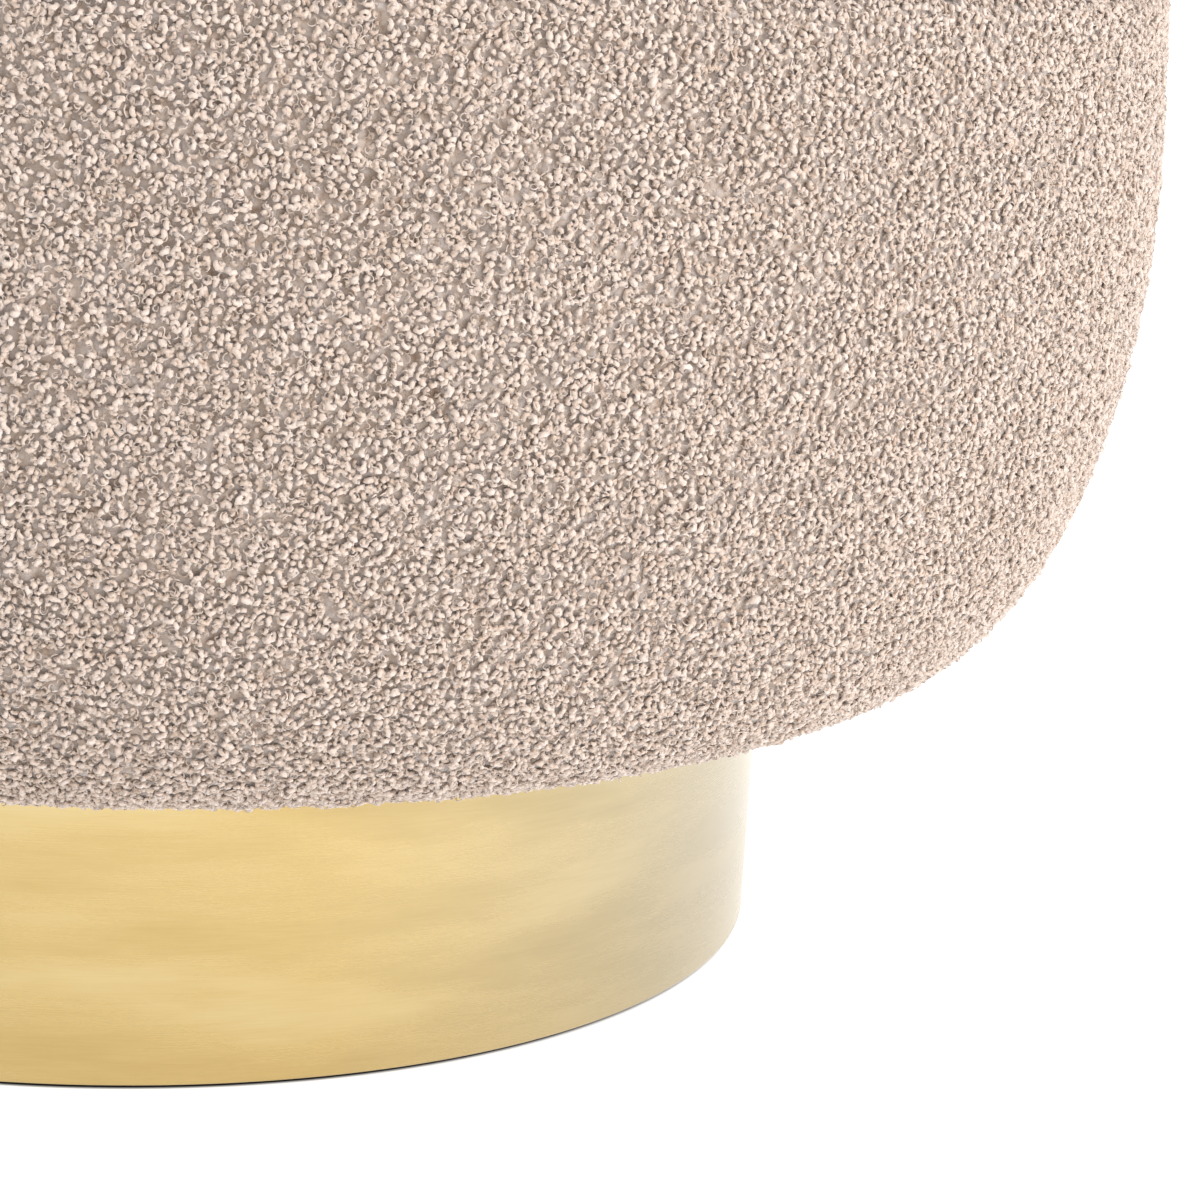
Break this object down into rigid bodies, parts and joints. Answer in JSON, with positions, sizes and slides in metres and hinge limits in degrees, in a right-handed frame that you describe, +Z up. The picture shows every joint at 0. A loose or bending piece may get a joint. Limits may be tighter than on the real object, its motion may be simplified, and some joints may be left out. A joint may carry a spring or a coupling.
{
  "type": "round storage ottoman",
  "caption": "Round boucle-covered storage ottoman with a lift-off padded lid over a lined well, standing on a smaller round plinth clad in brushed brass-coloured metal.",
  "frame": {"origin": "on the floor under the centre of the ottoman, at the centre of the bottom of its bounding box", "axes": "+Z up along the ottoman's axis of revolution; X and Y lie in the floor"},
  "size_m": [0.6, 0.6, 0.42],
  "materials": {
    "boucle": "looped boucle pile, matte, warm beige with paler curl tips",
    "brass": "brass-coloured metal sheet, fine brushing round the band, satin",
    "plywood": "bare birch plywood, sanded",
    "foam": "open-cell polyurethane foam, matte",
    "wadding": "white polyester wadding, soft",
    "lining": "plain woven lining cloth, matte",
    "dust_cloth": "black spunbond dust cloth, matte",
    "glide": "black moulded pad, matte",
    "steel": "zinc-plated steel, satin"
  },
  "bodies": {
    "base": {"plinth_band": "brass", "plinth_wall": "plywood", "plinth_bottom_board": "plywood", "plinth_top_board": "plywood", "plinth_post_1": "plywood", "plinth_post_2": "plywood", "plinth_post_3": "plywood", "plinth_post_4": "plywood", "glide_1": "glide", "glide_2": "glide", "glide_3": "glide", "glide_4": "glide", "plinth_bolt_1": "steel", "plinth_bolt_2": "steel", "plinth_bolt_3": "steel", "plinth_bolt_4": "steel", "tee_nut_1": "steel", "tee_nut_2": "steel", "tee_nut_3": "steel", "tee_nut_4": "steel", "floor_board": "plywood", "underside_lining": "dust_cloth", "tub_wall": "plywood", "rim_ring": "plywood", "rim_pad": "foam", "side_foam": "foam", "body_cover": "boucle", "well_floor_pad": "lining", "well_lining": "lining"},
    "lid": {"lid_board": "plywood", "lid_lining": "dust_cloth", "lid_locating_ring": "plywood", "lid_ring_screw_1": "steel", "lid_ring_screw_2": "steel", "lid_ring_screw_3": "steel", "lid_ring_screw_4": "steel", "lid_foam": "foam", "lid_wadding": "wadding", "lid_cover": "boucle"}
  },
  "joints": [
    {"name": "lid_lift", "type": "slide", "parent": "base", "child": "lid", "axis": [0, 0, 1], "range_m": [0, 0.3]}
  ]
}
